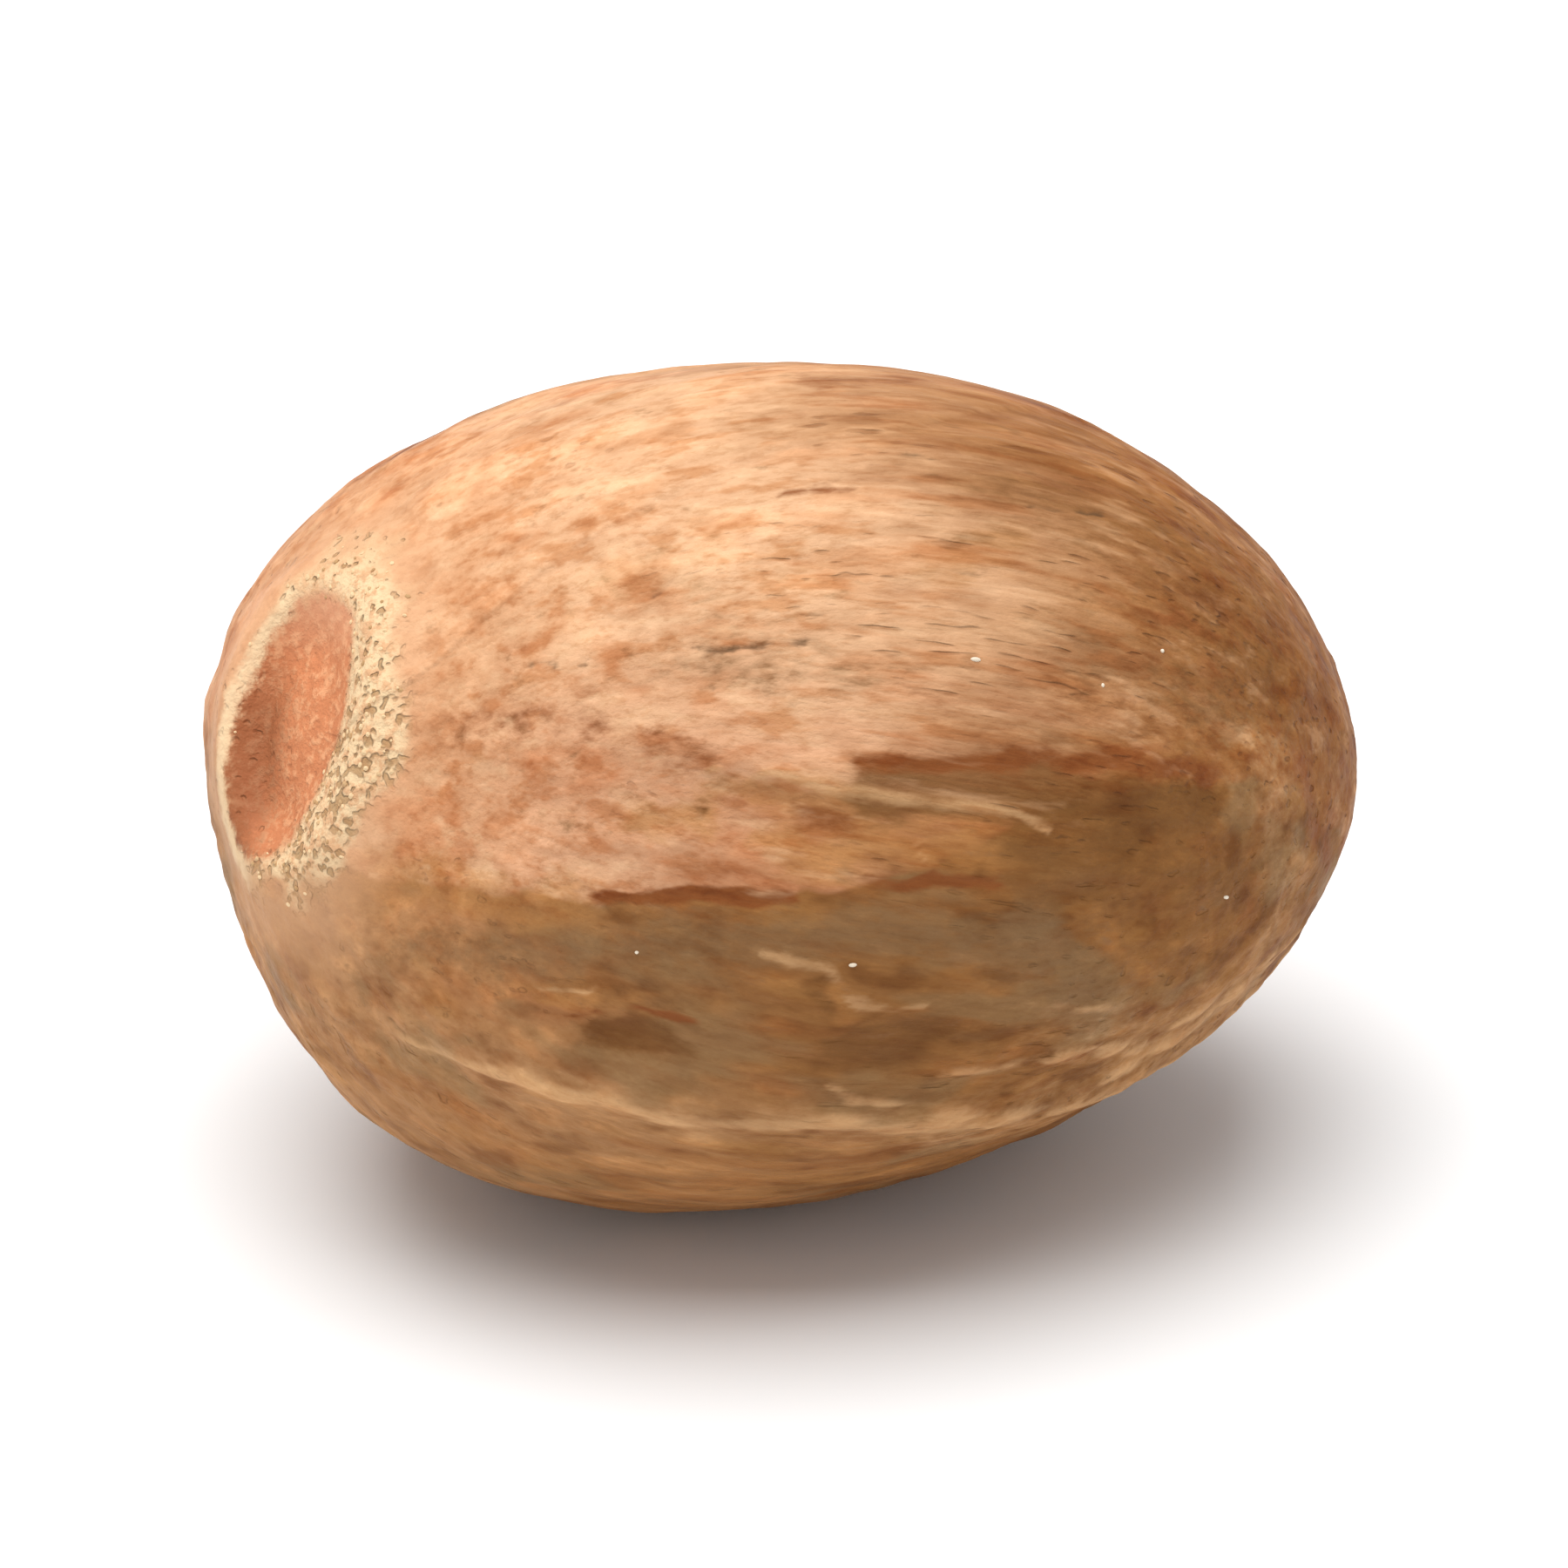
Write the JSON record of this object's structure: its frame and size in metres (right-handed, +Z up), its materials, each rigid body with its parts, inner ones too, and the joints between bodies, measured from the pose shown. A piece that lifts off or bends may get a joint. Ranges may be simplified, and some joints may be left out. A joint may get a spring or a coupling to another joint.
{
  "type": "whole nutmeg",
  "caption": "Dried oval seed kernel lying on its side, with lengthwise folds and veins, a sunken scar with a raised pale rim at the blunt end and a small pit at the tip.",
  "frame": {"origin": "on the surface it lies on, under the middle of its bounding box", "axes": "+X along the kernel from the blunt end with the scar to the tip, +Y away from the side the scar leans to, +Z up"},
  "size_m": [0.0262, 0.019, 0.0188],
  "materials": {
    "kernel": "dry, smooth, matt to faintly waxy, warm tan with paler veins"
  },
  "bodies": {
    "root": {"nutmeg": "kernel"}
  },
  "joints": []
}
